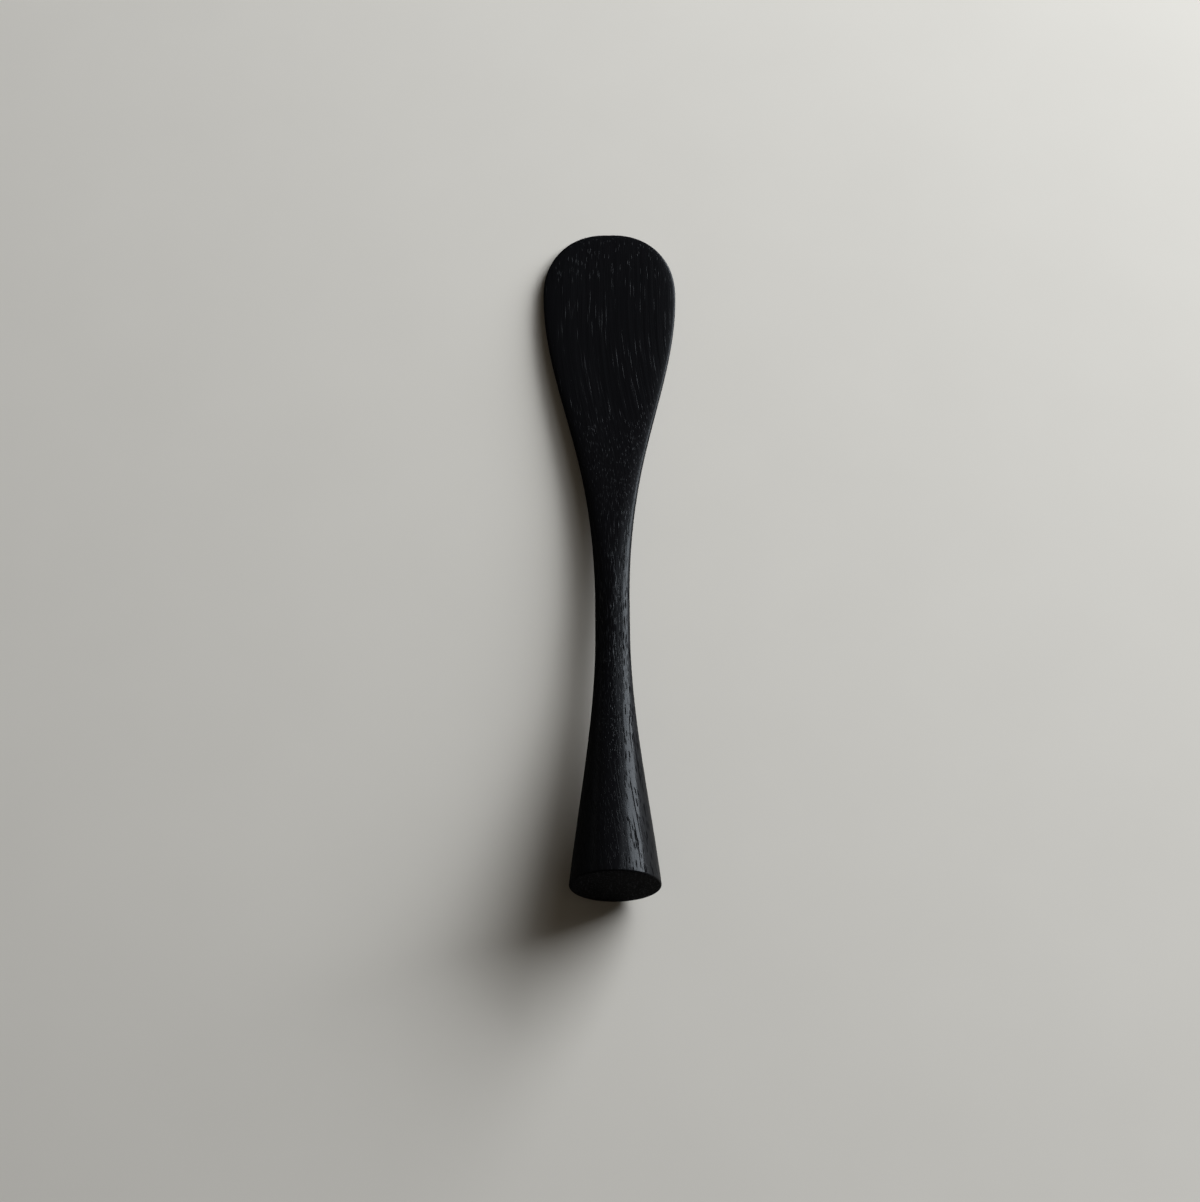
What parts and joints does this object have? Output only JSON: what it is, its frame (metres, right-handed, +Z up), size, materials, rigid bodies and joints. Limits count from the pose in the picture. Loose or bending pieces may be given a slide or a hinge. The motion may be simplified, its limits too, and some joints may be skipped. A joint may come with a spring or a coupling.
{
  "type": "spreader",
  "caption": "Spreader carved from a single piece of blackened wood, with a round handle that flares to a flat end, a slim neck and a wide, flat blade with a round tip.",
  "frame": {"origin": "on the table that the spreader lies on, under the middle of its box", "axes": "+Y runs from the handle's flat end towards the blade's tip, +X is to the side and +Z is up from the table"},
  "size_m": [0.0284, 0.1502, 0.0175],
  "materials": {
    "blackened_wood": "open-pored wood dyed black, oiled to a satin sheen"
  },
  "bodies": {
    "root": {"spreader_body": "blackened_wood"}
  },
  "joints": []
}
